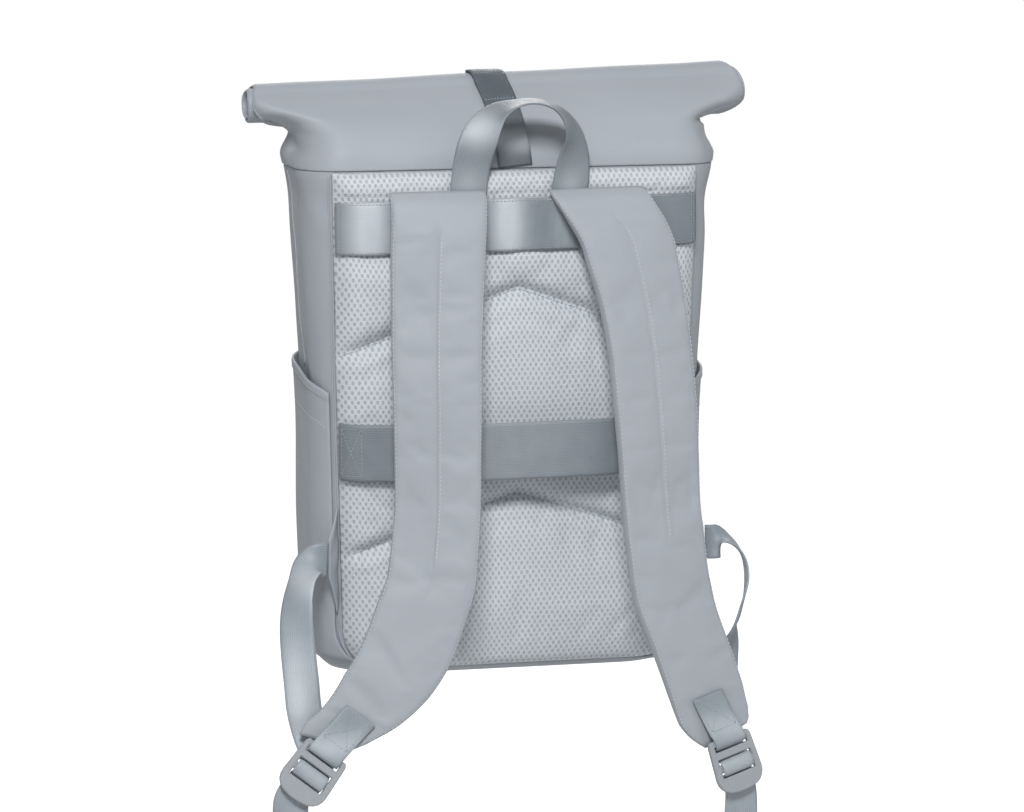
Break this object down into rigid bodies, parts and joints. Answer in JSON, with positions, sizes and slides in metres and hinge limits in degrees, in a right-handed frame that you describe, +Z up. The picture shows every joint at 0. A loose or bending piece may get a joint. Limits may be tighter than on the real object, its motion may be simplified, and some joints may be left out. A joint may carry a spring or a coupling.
{
  "type": "laptop backpack",
  "caption": "Roll-top laptop backpack with a padded mesh back panel, padded shoulder straps with ladder locks, a grab handle and a band that slips over a luggage handle.",
  "frame": {"origin": "middle of the sleeve between the back panel and the lower band, which slips over a luggage handle", "axes": "+Z up along the height of the bag, +X along its width towards the right strap, -Y out of the back panel towards the wearer"},
  "size_m": [0.3839, 0.2246, 0.5891],
  "materials": {
    "shell_fabric": "coated woven cloth, light grey",
    "mesh_fabric": "padded spacer mesh, pale grey",
    "webbing": "flat woven webbing with a soft sheen",
    "plastic": "moulded, satin"
  },
  "bodies": {
    "root": {"bag_body": "shell_fabric", "rolled_collar": "shell_fabric", "side_pocket_left": "shell_fabric", "side_pocket_right": "shell_fabric", "shoulder_strap_left": "shell_fabric", "shoulder_strap_right": "shell_fabric", "wing_tab_left": "shell_fabric", "wing_tab_right": "shell_fabric", "back_panel": "mesh_fabric", "upper_band": "webbing", "trolley_band": "webbing", "strap_tab_left": "webbing", "strap_tab_right": "webbing", "adjuster_webbing_left": "webbing", "adjuster_webbing_right": "webbing", "grab_handle": "webbing", "closure_strap": "webbing", "clasp_anchor": "webbing", "ladder_lock_left": "plastic", "ladder_lock_right": "plastic", "front_clasp": "plastic"}
  },
  "joints": []
}
